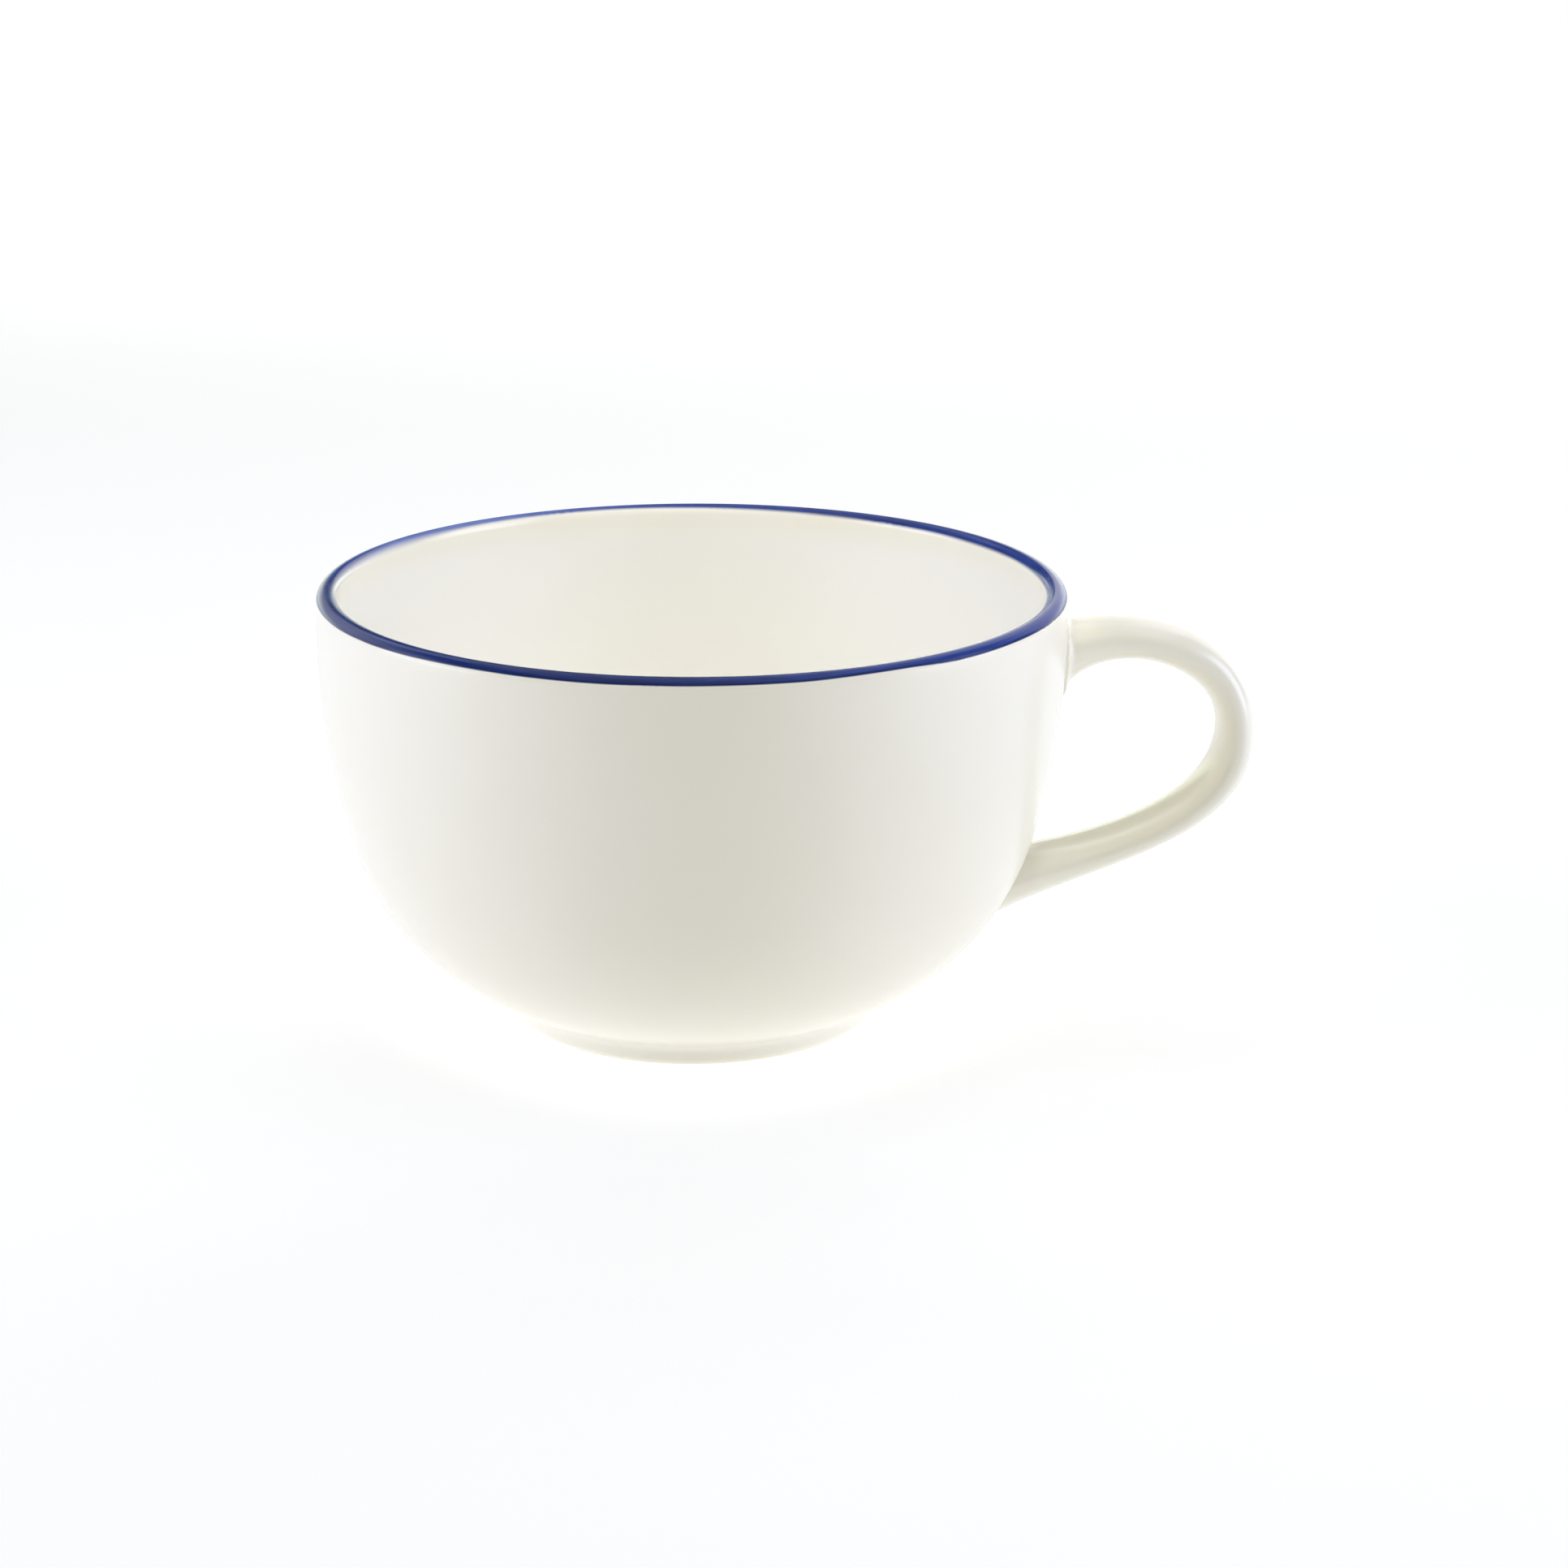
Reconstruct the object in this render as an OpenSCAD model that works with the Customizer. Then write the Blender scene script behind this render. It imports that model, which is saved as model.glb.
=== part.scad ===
// Low, wide coffee cup of glazed porcelain with a turned foot ring, an ear-shaped handle
// luted on at two places, and a band of cobalt colour round the lip.
// Millimetres. The origin is the centre of the foot ring on the table, the cup stands along +Z
// and the handle points along +X.

/* [Bowl] */
// Outside diameter across the rim
rim_d = 95; // [80:1:114]
// Overall height from the table to the lip
cup_h = 56.4; // [47:0.2:68]
// Thickness of the wall at the lip, which is a full round
lip_t = 2.7; // [2:0.1:3.4]
// Thickness of the wall where it runs into the belly
belly_t = 3.1; // [2.7:0.1:3.9]
// Angle of the outside at the lip, where 90 is upright and more leans in over the drink
lip_lean = 93; // [90.5:0.5:96]
// Angle of the outside where the wall runs into the belly
wall_lean = 75; // [70:1:79]
// Angle at which the belly leaves the foot ring
belly_rise = 22; // [15:1:30]
// Thickness of the floor on the axis
floor_t = 4; // [3:0.1:5]
// Slope at the edge of the floor's shallow dish
floor_dish = 8; // [4:1:14]

/* [Foot ring] */
// Outside diameter of the ring
foot_d = 49.6; // [40:0.2:60]
// Height at which the belly leaves the ring
foot_h = 2.6; // [2.2:0.1:4]
// Width of the ring from outside to inside
foot_w = 3.4; // [2.6:0.1:5]
// Depth of the hollow inside the ring
foot_hollow = 2.5; // [1.8:0.1:3.2]
// Rounding of the two lower edges, beside the flat that stands on the table
foot_edge_r = 0.9; // [0.4:0.1:1.1]
// Hollow rounding between the ring and the belly
cove_r = 1.8; // [0.8:0.1:2.2]
// Hollow rounding between the inside of the ring and the underside
hollow_r = 1.2; // [0.5:0.1:1.6]

/* [Rim band] */
// Depth of the fired colour, which lies flush with the lip
band_t = 0.3; // [0.2:0.05:0.5]
// Angle from the top of the lip to the band's outer edge
band_out = 76; // [50:1:85]
// Angle from the top of the lip to the band's inner edge
band_in = 44; // [30:1:80]

/* [Handle] */
// Distance that the loop stands out from the rim
handle_reach = 25; // [20:0.5:32]
// Distance from the lip down to the outermost point of the loop
tip_drop = 20.5; // [18:0.5:24]
// Thickness of the strap at the outermost point
strap_t = 4.6; // [3.8:0.1:6]
// Width of the strap at the outermost point
strap_w = 10.4; // [8:0.1:13]
// Width of the strap where it meets the wall
root_w = 11.4; // [9:0.1:14]
// Squareness of the strap's section, where 2 is an ellipse
strap_square = 2.3; // [2:0.1:3]
// Distance from the lip down to the top of the upper root
upper_drop = 5.5; // [4.5:0.1:8]
// Height of the upper root on the wall
upper_depth = 8.3; // [6.5:0.1:10]
// Height of the lower root's bottom edge above the table
lower_h = 9.9; // [8.5:0.1:12]
// Height of the lower root on the wall
lower_depth = 10.5; // [8.5:0.1:12.5]
// Flare of the strap into the wall at both roots
root_flare_r = 1.2; // [0.6:0.1:2]
// Thickness of the slip between the handle and the wall
slip_t = 0.5; // [0.3:0.1:1]

/* [Handle curves] */
// Angle at which the outside curve rises from the upper root
outer_rise = 16; // [5:1:30]
// Pull of the outside curve at the upper root
outer_start = 4.4; // [3:0.1:7]
// Pull of the outside curve upwards from the outermost point
outer_crown = 18; // [14:0.5:21]
// Pull of the outside curve downwards from the outermost point
outer_sweep = 15.3; // [12:0.1:18]
// Pull of the outside curve at the lower root
outer_run = 15.4; // [12:0.1:18]
// Angle at which the outside curve lands on the lower root
outer_land = 35.6; // [28:0.2:42]
// Angle at which the inside curve rises from the upper root
inner_rise = 53; // [44:1:60]
// Pull of the inside curve at the upper root
inner_start = 9.5; // [7:0.1:12]
// Pull of the inside curve upwards from the outermost point
inner_crown = 9; // [7:0.1:12]
// Pull of the inside curve downwards from the outermost point
inner_sweep = 12.3; // [9:0.1:14]
// Pull of the inside curve at the lower root
inner_run = 4.2; // [3:0.1:7]
// Angle at which the inside curve lands on the lower root
inner_land = 3; // [0:1:12]
// Lift of the inside curve's outermost point above the outside one's
inner_lift = 0.8; // [0:0.1:2]

/* [Hidden] */
$fn = 360;

porcelain = [0.95, 0.94, 0.91];
raw_slip = [0.92, 0.90, 0.86];
cobalt = [0.17, 0.23, 0.52];

// Unit vector square to a surface that slopes at an angle, pointing out of the cup
function facing(angle) = [sin(angle), -cos(angle)];

rim_r = rim_d / 2;
foot_r = foot_d / 2;
lip_r = lip_t / 2;
lip_c = [rim_r - lip_r, cup_h - lip_r];

// The outside is two arcs that share a tangent: the belly, from the foot ring up to wall_lean, and
// the wall, from there up to the lip. Their radii follow from the two ends that they have to join.
span = lip_c + lip_r * facing(lip_lean) - [foot_r, foot_h];
belly_turn = facing(wall_lean) - facing(belly_rise);
wall_turn = facing(lip_lean) - facing(wall_lean);
turn = belly_turn.x * wall_turn.y - wall_turn.x * belly_turn.y;
belly_r = (span.x * wall_turn.y - wall_turn.x * span.y) / turn;
wall_r = (belly_turn.x * span.y - span.x * belly_turn.y) / turn;
belly_c = [foot_r, foot_h] - belly_r * facing(belly_rise);
wall_c = lip_c + (lip_r - wall_r) * facing(lip_lean);

// The inside is one arc from the lip down to wall_lean, along which the wall grows from lip_t to
// belly_t, and a second that sweeps into a shallow dish at the floor
lip_in = lip_c - lip_r * facing(lip_lean);
wall_end = wall_c + wall_r * facing(wall_lean);
inner_r = ((wall_end - lip_in) * facing(wall_lean) - belly_t) / (1 - cos(lip_lean - wall_lean));
inner_c = lip_in - inner_r * facing(lip_lean);
floor_h = foot_hollow + floor_t;
well_top = inner_c + inner_r * facing(wall_lean);
dish_fall = tan(floor_dish / 2);
well_turn = facing(wall_lean) - facing(floor_dish);
well_r = (well_top.y - floor_h - well_top.x * dish_fall) / (well_turn.y - well_turn.x * dish_fall);
well_c = well_top - well_r * facing(wall_lean);
dish_edge = well_c + well_r * facing(floor_dish);
dish_r = dish_edge.x / sin(floor_dish);

// The cove touches the foot ring's side and the belly
cove_x = foot_r + cove_r;
cove_c = [cove_x, belly_c.y - sqrt(pow(belly_r + cove_r, 2) - pow(cove_x - belly_c.x, 2))];
cove_touch = belly_c + belly_r * (cove_c - belly_c) / (belly_r + cove_r);

// Room that a cutting shape runs past what it cuts
past = 2;
// Amount by which one arc stands out of the next where they join, so that they cross and leave no sliver
seam = 0.003;

// Part of the half plane right of the axis that lies between two heights
module strip(low, high) {
    translate([0, low])
        square([rim_d, high - low]);
}

// Everything past the line on which the wall ends and the lip's round begins
module above_lip() {
    translate(lip_c)
        rotate(lip_lean - 90)
            translate([-rim_d, 0])
                square([2 * rim_d, cup_h]);
}

// Outline of the bowl's outside, filled to the axis and grown evenly
module outside(grow = 0) {
    join_h = belly_c.y - (belly_r + grow) * cos(wall_lean);
    intersection() {
        union() {
            translate(belly_c)
                circle(belly_r + grow);
            square([belly_c.x, join_h]);
        }
        strip(foot_h, join_h + past);
    }
    difference() {
        intersection() {
            translate(wall_c)
                circle(wall_r + grow - seam);
            strip(join_h, cup_h);
        }
        above_lip();
    }
}

// Outline of the space for the drink
module inside() {
    intersection() {
        translate(inner_c)
            circle(inner_r + seam);
        strip(well_top.y, cup_h + past);
    }
    intersection() {
        translate(well_c)
            circle(well_r + 2 * seam);
        strip(floor_h, well_top.y + past);
    }
    // Room round the axis that the two circles may leave out
    translate([0, dish_edge.y])
        square([max(well_c.x, inner_c.x), cup_h + past - dish_edge.y]);
    intersection() {
        translate([0, floor_h + dish_r])
            circle(dish_r);
        strip(floor_h, dish_edge.y);
    }
}

// Full round between the two faces of the wall
module lip() {
    translate(lip_c)
        circle(lip_r);
}

// Space over the lip, from band_out outside to band_in inside, that the colour takes up
module band_seat() {
    edges = [band_out, (band_out - band_in) / 2, -band_in];
    translate(lip_c)
        difference() {
            polygon([[0, 0], for (a = edges) 2 * lip_r * [sin(a), cos(a)]]);
            circle(lip_r - band_t);
        }
}

// Waste outside a rounded lower edge of the foot ring, on the side that dir points to
module edge_waste(edge_x, dir) {
    translate([edge_x - dir * foot_edge_r, 0])
        difference() {
            translate([min(0, dir * (foot_edge_r + past)), -past])
                square([foot_edge_r + past, foot_edge_r + past]);
            translate([0, foot_edge_r])
                circle(foot_edge_r);
        }
}

// Hollow under the floor, with its upper corner rounded
module underside() {
    ring_in = foot_r - foot_w;
    translate([0, -past])
        square([ring_in - hollow_r, foot_hollow + past]);
    translate([0, -past])
        square([ring_in, foot_hollow - hollow_r + past]);
    translate([ring_in - hollow_r, foot_hollow - hollow_r])
        circle(hollow_r);
}

// Foot ring and the base inside it, with the cove that leads up to the belly
module foot() {
    difference() {
        square(cove_touch);
        translate(cove_c)
            circle(cove_r + seam);
        translate([foot_r, -past])
            square([2 * cove_r, cove_c.y + past]);
    }
}

module bowl() {
    color(porcelain)
        rotate_extrude()
            difference() {
                union() {
                    difference() {
                        union() {
                            outside();
                            foot();
                        }
                        inside();
                    }
                    lip();
                }
                band_seat();
                underside();
                edge_waste(foot_r, 1);
                edge_waste(foot_r - foot_w, -1);
            }
}

module rim_band() {
    color(cobalt)
        rotate_extrude()
            intersection() {
                lip();
                band_seat();
            }
}

// The handle is a strap between two curves in the plane of the handle. Each curve is two cubic
// pieces, from the upper root to the outermost point and from there to the lower root.
stations = 60;
sides = 32;
root_sink = 3;
root_stations = 16;

function polar(length, angle) = length * [cos(angle), sin(angle)];
function cubic(p, t) =
    pow(1 - t, 3) * p[0] + 3 * pow(1 - t, 2) * t * p[1] + 3 * (1 - t) * t * t * p[2] + pow(t, 3) * p[3];

// Point of the bowl's outside at a height
join_h = belly_c.y - belly_r * cos(wall_lean);
function arc_x(c, r, h) = c.x + sqrt(r * r - pow(h - c.y, 2));
function on_wall(h) = [h < join_h ? arc_x(belly_c, belly_r, h) : arc_x(wall_c, wall_r, h), h];
function into_wall(p) =
    let (c = p.y < join_h ? belly_c : wall_c)
    (c - p) / norm(c - p);

function rail(top, rise, start, tip, crown, sweep, low, land, run) = [
    [top, top + polar(start, rise), tip + [0, crown], tip],
    [tip, tip - [0, sweep], low + polar(run, land), low]
];
function along(curves, t) = t < 0.5 ? cubic(curves[0], 2 * t) : cubic(curves[1], 2 * t - 1);

upper_h = cup_h - upper_drop;
outer_tip = [rim_r + handle_reach, cup_h - tip_drop];
inner_tip = outer_tip + [-strap_t, inner_lift];
outer_curves = rail(
    on_wall(upper_h), outer_rise, outer_start,
    outer_tip, outer_crown, outer_sweep,
    on_wall(lower_h), outer_land, outer_run);
inner_curves = rail(
    on_wall(upper_h - upper_depth), inner_rise, inner_start,
    inner_tip, inner_crown, inner_sweep,
    on_wall(lower_h + lower_depth), inner_land, inner_run);

// Stations lie closer together towards the roots
function station(i) = (1 - cos(180 * i / stations)) / 2;
function middle(t) = (along(outer_curves, t) + along(inner_curves, t)) / 2;
function half_depth(t) = (along(outer_curves, t) - along(inner_curves, t)) / 2;
function half_width(t) = (strap_w + (root_w - strap_w) * pow(abs(2 * t - 1), 3)) / 2;

// Growth of the section near a root, as a quarter round against the wall
function flare(t) =
    let (d = min(norm(middle(t) - middle(0)), norm(middle(t) - middle(1))))
    d < root_flare_r ? root_flare_r - sqrt(pow(root_flare_r, 2) - pow(root_flare_r - d, 2)) : 0;

function squared(s) = sign(s) * pow(abs(s), 2 / strap_square);
function section(t, shift = [0, 0]) =
    let (
        m = middle(t) + shift,
        h = half_depth(t) * (1 + flare(t) / norm(half_depth(t))),
        w = half_width(t) + flare(t)
    )
    [for (k = [0 : sides - 1])
        let (c = squared(cos(360 * k / sides)), s = squared(sin(360 * k / sides)))
        [m.x + h.x * c, w * s, m.y + h.y * c]];

// Sections from the first station to the last, and at a root one more that is sunk into the wall
function sections(first, last) = concat(
    first == 0 ? [section(0, root_sink * into_wall(middle(0)))] : [],
    [for (i = [first : last]) section(station(i))],
    last == stations ? [section(1, root_sink * into_wall(middle(1)))] : []);

module strap(first, last) {
    rings = sections(first, last);
    count = len(rings);
    points = [for (ring = rings) each ring];
    skin = [for (i = [0 : count - 2], k = [0 : sides - 1])
        let (n = (k + 1) % sides, a = i * sides, b = a + sides)
        each [[a + k, a + n, b + n], [a + k, b + n, b + k]]];
    start_cap = [for (k = [sides - 1 : -1 : 0]) k];
    end_cap = [for (k = [0 : sides - 1]) (count - 1) * sides + k];
    polyhedron(points, concat(skin, [start_cap, end_cap]), convexity = 4);
}

module bowl_form(grow) {
    rotate_extrude()
        outside(grow);
}

// Pad of slip under one root, between the wall and the handle's end
module slip_joint(first, last) {
    difference() {
        intersection() {
            strap(first, last);
            bowl_form(slip_t);
        }
        bowl_form(0);
    }
}

module handle() {
    color(porcelain)
        difference() {
            strap(0, stations);
            bowl_form(slip_t);
        }
}

module upper_slip_joint() {
    color(raw_slip)
        slip_joint(0, root_stations);
}

module lower_slip_joint() {
    color(raw_slip)
        slip_joint(stations - root_stations, stations);
}

bowl();
handle();
upper_slip_joint();
lower_slip_joint();
rim_band();
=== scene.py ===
import bpy
import numpy as np
from mathutils import Matrix


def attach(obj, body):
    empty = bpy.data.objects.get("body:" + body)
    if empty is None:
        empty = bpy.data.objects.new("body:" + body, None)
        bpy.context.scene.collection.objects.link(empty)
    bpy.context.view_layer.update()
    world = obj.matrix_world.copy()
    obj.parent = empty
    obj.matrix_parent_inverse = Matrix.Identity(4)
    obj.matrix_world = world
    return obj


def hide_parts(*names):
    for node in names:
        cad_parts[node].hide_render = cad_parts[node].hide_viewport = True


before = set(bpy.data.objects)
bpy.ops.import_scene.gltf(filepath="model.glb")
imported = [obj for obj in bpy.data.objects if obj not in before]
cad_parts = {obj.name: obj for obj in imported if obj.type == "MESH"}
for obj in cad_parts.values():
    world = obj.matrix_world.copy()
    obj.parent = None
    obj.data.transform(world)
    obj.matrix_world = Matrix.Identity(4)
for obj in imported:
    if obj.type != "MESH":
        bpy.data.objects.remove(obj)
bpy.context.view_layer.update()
mm = 0.001
fullTurn, degree = 6.2832, 57.2958   # radians in a turn and degrees in a radian, for the sums in the materials
creaseAngle = 40                     # edges that turn by more degrees than this stay crisp
print("frame loaded:", ", ".join(sorted(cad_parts)))


# unit vector square to a surface that slopes at an angle: (sine outwards, minus cosine upwards)
def facing(angle):
    a = np.radians(np.asarray(angle, float))
    return np.stack([np.sin(a), -np.cos(a)], -1)


# arc: centre plus radius times the facing vector, while the angle runs evenly from first to last
def arc(centre, radius, first, last, count):
    return np.asarray(centre, float) + radius * facing(np.linspace(first, last, count))


# straight run: first plus an even share of the way to last
def run(first, last, count):
    return np.linspace(np.asarray(first, float), np.asarray(last, float), count)


# smooth step: 0 below low, 1 above high, 3s2 - 2s3 between
def ease(low, high, x):
    s = np.clip((np.asarray(x, float) - low) / (high - low), 0, 1)
    return s * s * (3 - 2 * s)


# shape of the bowl, in millimetres and degrees, as the CAD frame has it
bowl = {
    "rimWidth": 95.0, "height": 56.4,                       # overall
    "lip": 2.7, "belly": 3.1,                               # wall at the lip and at the belly
    "lipLean": 93.0, "wallLean": 75.0, "bellyRise": 22.0,   # slopes of the outside from the lip down to the foot
    "floor": 4.0, "floorDish": 8.0,                         # floor on the axis and slope at its dish's edge
    "footWidth": 49.6, "footHeight": 2.6, "footRing": 3.4, "footHollow": 2.5,
    "footEdge": 0.9, "cove": 1.8, "hollowRound": 1.2,
    "around": 384,                                          # points round the cup
}
# blue band: depth, and its edges in degrees from the lip's top
band = {"depth": 0.3, "outside": 76.0, "inside": 44.0}


# outside: two arcs with a common tangent at wallLean, their radii from the span between lip and foot;
# inside: an arc that thickens the wall, a well and a dished floor; the cove touches the belly and the foot
def bowlCurves(b):
    lipRadius = b["lip"] / 2
    lipCentre = np.array([b["rimWidth"] / 2 - lipRadius, b["height"] - lipRadius])
    footCorner = np.array([b["footWidth"] / 2, b["footHeight"]])
    atLip, atWall, atFoot = facing(b["lipLean"]), facing(b["wallLean"]), facing(b["bellyRise"])
    span = lipCentre + lipRadius * atLip - footCorner
    bellyRadius, wallRadius = np.linalg.solve(np.stack([atWall - atFoot, atLip - atWall], 1), span)
    c = {"lipRadius": lipRadius, "lipCentre": lipCentre, "bellyRadius": bellyRadius, "wallRadius": wallRadius}
    c["bellyCentre"] = footCorner - bellyRadius * atFoot
    c["wallCentre"] = lipCentre + (lipRadius - wallRadius) * atLip
    lipInside = lipCentre - lipRadius * atLip
    wallEnd = c["wallCentre"] + wallRadius * atWall
    bend = 1 - np.cos(np.radians(b["lipLean"] - b["wallLean"]))
    c["innerRadius"] = ((wallEnd - lipInside) @ atWall - b["belly"]) / bend
    c["innerCentre"] = lipInside - c["innerRadius"] * atLip
    c["floorHeight"] = b["footHollow"] + b["floor"]
    wellTop = c["innerCentre"] + c["innerRadius"] * atWall
    fall = np.tan(np.radians(b["floorDish"] / 2))
    turn = atWall - facing(b["floorDish"])
    c["wellRadius"] = (wellTop[1] - c["floorHeight"] - wellTop[0] * fall) / (turn[1] - turn[0] * fall)
    c["wellCentre"] = wellTop - c["wellRadius"] * atWall
    dishEdge = c["wellCentre"] + c["wellRadius"] * facing(b["floorDish"])
    c["dishRadius"] = dishEdge[0] / np.sin(np.radians(b["floorDish"]))
    coveX = b["footWidth"] / 2 + b["cove"]
    drop = np.sqrt((bellyRadius + b["cove"]) ** 2 - (coveX - c["bellyCentre"][0]) ** 2)
    c["coveCentre"] = np.array([coveX, c["bellyCentre"][1] - drop])
    return c


curves = bowlCurves(bowl)

# firing leaves the rim a touch out of round: waves in a turn, millimetres at the lip and phase of each
warp = {"swell": ((2, 0.06, 0.7), (3, 0.03, -0.4), (7, 0.012, 1.9)), "rise": (2, 0.05, -1.1)}


# radius and height grow by cosines of the turn, times the square of the share of the cup's height
def kilnWarp(points):
    p = np.array(points, float)
    turn = np.arctan2(p[..., 1], p[..., 0])
    lift = np.clip(p[..., 2] / bowl["height"], 0, 1) ** 2
    grow = lift * sum(size * np.cos(waves * turn + phase) for waves, size, phase in warp["swell"])
    waves, size, phase = warp["rise"]
    p[..., 0] += grow * np.cos(turn)
    p[..., 1] += grow * np.sin(turn)
    p[..., 2] += size * lift * np.cos(waves * turn + phase)
    return p


# point on the lip's round: its centre plus radius times (sine, cosine) of the angle from the top, outwards positive
def onLip(angle, radius):
    a = np.radians(np.asarray(angle, float))
    return curves["lipCentre"] + radius * np.stack([np.sin(a), np.cos(a)], -1)


# mesh from rows of points: quads between rows that close round, a fan to one point at each end where it is given
def closedRows(name, rows, firstPoint=None, lastPoint=None, closeRows=False):
    count, sides = rows.shape[:2]
    points = rows.reshape(-1, 3)
    i = np.arange(count if closeRows else count - 1)[:, None]
    j = np.arange(sides)[None, :]
    nextRow, nextSide = (i + 1) % count, (j + 1) % sides
    corners = [i * sides + j, nextRow * sides + j, nextRow * sides + nextSide, i * sides + nextSide]
    quads = np.stack(corners, -1).reshape(-1, 4)
    fans = []
    side = np.arange(sides)
    if firstPoint is not None:
        points = np.vstack([points, firstPoint])
        fans.append(np.stack([np.full(sides, len(points) - 1), side, (side + 1) % sides], -1))
    if lastPoint is not None:
        points = np.vstack([points, lastPoint])
        last = (count - 1) * sides
        fans.append(np.stack([np.full(sides, len(points) - 1), last + (side + 1) % sides, last + side], -1))
    fans = np.vstack(fans) if fans else np.zeros((0, 3), int)
    # volume by the sum of corner products: the faces are turned if it is negative
    triangles = np.vstack([quads[:, [0, 1, 2]], quads[:, [0, 2, 3]], fans])
    a, b, c = (points[triangles[:, k]] for k in range(3))
    if np.einsum("ij,ij->", a, np.cross(b, c)) < 0:
        quads, fans = quads[:, ::-1], fans[:, ::-1]
    mesh = bpy.data.meshes.new(name)
    mesh.from_pydata(points * mm, [], quads.tolist() + fans.tolist())
    mesh.polygons.foreach_set("use_smooth", np.ones(len(mesh.polygons), bool))
    mesh.set_sharp_from_angle(angle=np.radians(creaseAngle))
    mesh.update()
    piece = bpy.data.objects.new(name, mesh)
    bpy.context.scene.collection.objects.link(piece)
    return piece


# one value for every point, read by the materials
def paintPoints(piece, name, values):
    layer = piece.data.attributes.new(name, "FLOAT", "POINT")
    layer.data.foreach_set("value", np.asarray(values, np.float32))


# bowl: the profile runs from the floor's middle up the inside, over the lip, down the outside and under the foot,
# as arcs and straight runs end to end; the last number of each is its count of points
def bowlProfile(b, c):
    footRadius, edge, hollow = b["footWidth"] / 2, b["footEdge"], b["hollowRound"]
    ringInside, hollowTop = footRadius - b["footRing"], b["footHollow"]
    toBelly = c["bellyCentre"] - c["coveCentre"]
    coveFrom = np.degrees(np.arctan2(toBelly[0], -toBelly[1]))   # facing angle at which the cove touches the belly
    lip, seat = c["lipRadius"], c["lipRadius"] - band["depth"]
    parts = [
        arc([0, c["floorHeight"] + c["dishRadius"]], c["dishRadius"], 0, b["floorDish"], 22),
        arc(c["wellCentre"], c["wellRadius"], b["floorDish"], b["wallLean"], 48),
        arc(c["innerCentre"], c["innerRadius"], b["wallLean"], b["lipLean"], 28),
        onLip(np.linspace(-b["lipLean"], -band["inside"], 10), lip),
        onLip(np.linspace(-band["inside"], band["outside"], 18), seat),
        onLip(np.linspace(band["outside"], 180 - b["lipLean"], 5), lip),
        arc(c["wallCentre"], c["wallRadius"], b["lipLean"], b["wallLean"], 30),
        arc(c["bellyCentre"], c["bellyRadius"], b["wallLean"], 180 + coveFrom, 44),
        arc(c["coveCentre"], b["cove"], coveFrom, -90, 10),
        run([footRadius, c["coveCentre"][1]], [footRadius, edge], 3),
        arc([footRadius - edge, edge], edge, 90, 0, 7),
        run([footRadius - edge, 0], [ringInside + edge, 0], 5),
        arc([ringInside + edge, edge], edge, 0, -90, 7),
        run([ringInside, edge], [ringInside, hollowTop - hollow], 3),
        arc([ringInside - hollow, hollowTop - hollow], hollow, 90, 180, 6),
        run([ringInside - hollow, hollowTop], [0, hollowTop], 12),
    ]
    return np.vstack([parts[0]] + [p[1:] if np.allclose(p[0], q[-1]) else p for q, p in zip(parts, parts[1:])])


# profile turned about Z: (r cos t, r sin t, z)
def turned(line, around):
    t = np.arange(around) * (2 * np.pi / around)
    return np.stack([line[:, :1] * np.cos(t), line[:, :1] * np.sin(t), np.repeat(line[:, 1:], around, 1)], -1)


# where the glaze lies thick, where the inside is painted paler as painted light, and where there is no glaze, as radii
# and heights in millimetres
glazeRun = {
    "floorPool": (6.5, 24.0),                                           # pool inside, from full to none
    "coveAt": (25.6, 2.4), "coveSpread": 1.6,                           # thick line in the cove
    "hollowEdge": 21.0, "hollowPool": (1.2, 2.5), "hollowShare": 0.6,   # under the foot
    "insideLightEnd": (51.0, 55.6),                                           # painted light: the inside is painted paler and less yellow, fading out just below the lip
    "wiped": (0.08, 0.3), "wipedRing": (20.5, 25.0),                    # bearing face, wiped clean before firing
}


# bowl: the turned profile, with three painted values that ease from 1 to 0 between the heights above
def makeBowl():
    g = glazeRun
    line = bowlProfile(bowl, curves)
    rows = kilnWarp(turned(line[1:-1], bowl["around"]))
    ends = np.array([[0, 0, line[0, 1]], [0, 0, line[-1, 1]]])
    piece = closedRows("bowlBody", rows, ends[0], ends[1])
    r, z = line[1:-1, 0], line[1:-1, 1]
    inside = np.arange(len(r)) < int(np.argmax(z))
    cove = np.exp(-((r - g["coveAt"][0]) ** 2 + (z - g["coveAt"][1]) ** 2) / g["coveSpread"])
    pool = np.where(inside, 1 - ease(*g["floorPool"], z), 0) + cove
    inHollow = ~inside & (r < g["hollowEdge"])
    pool = np.clip(pool + np.where(inHollow, ease(*g["hollowPool"], z) * g["hollowShare"], 0), 0, 1)
    # painted light: the inside, up to just below the lip, takes a paler, less yellow copy of the ivory to offset the
    # warm cast of light bouncing inside the cup
    insideLight = np.where(inside, 1 - ease(*g["insideLightEnd"], z), 0)
    onRing = ~inside & (r > g["wipedRing"][0]) & (r < g["wipedRing"][1])
    bare = np.where(onRing, 1 - ease(*g["wiped"], z), 0)
    for name, values in (("glazePool", pool), ("paintedInsideLight", insideLight), ("bareClay", bare)):
        paintPoints(piece, name, np.concatenate([np.repeat(values, bowl["around"]), values[[0, -1]]]))
    return piece


# blue band: a thin ring let into the lip, outer arc out and back along the seat
def makeBand():
    outer = onLip(np.linspace(-band["inside"], band["outside"], 40), curves["lipRadius"])
    inner = onLip(np.linspace(band["outside"], -band["inside"], 14), curves["lipRadius"] - band["depth"])
    rows = kilnWarp(turned(np.vstack([outer, inner]), bowl["around"]))
    return closedRows("rimBand", rows, closeRows=True)


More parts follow.
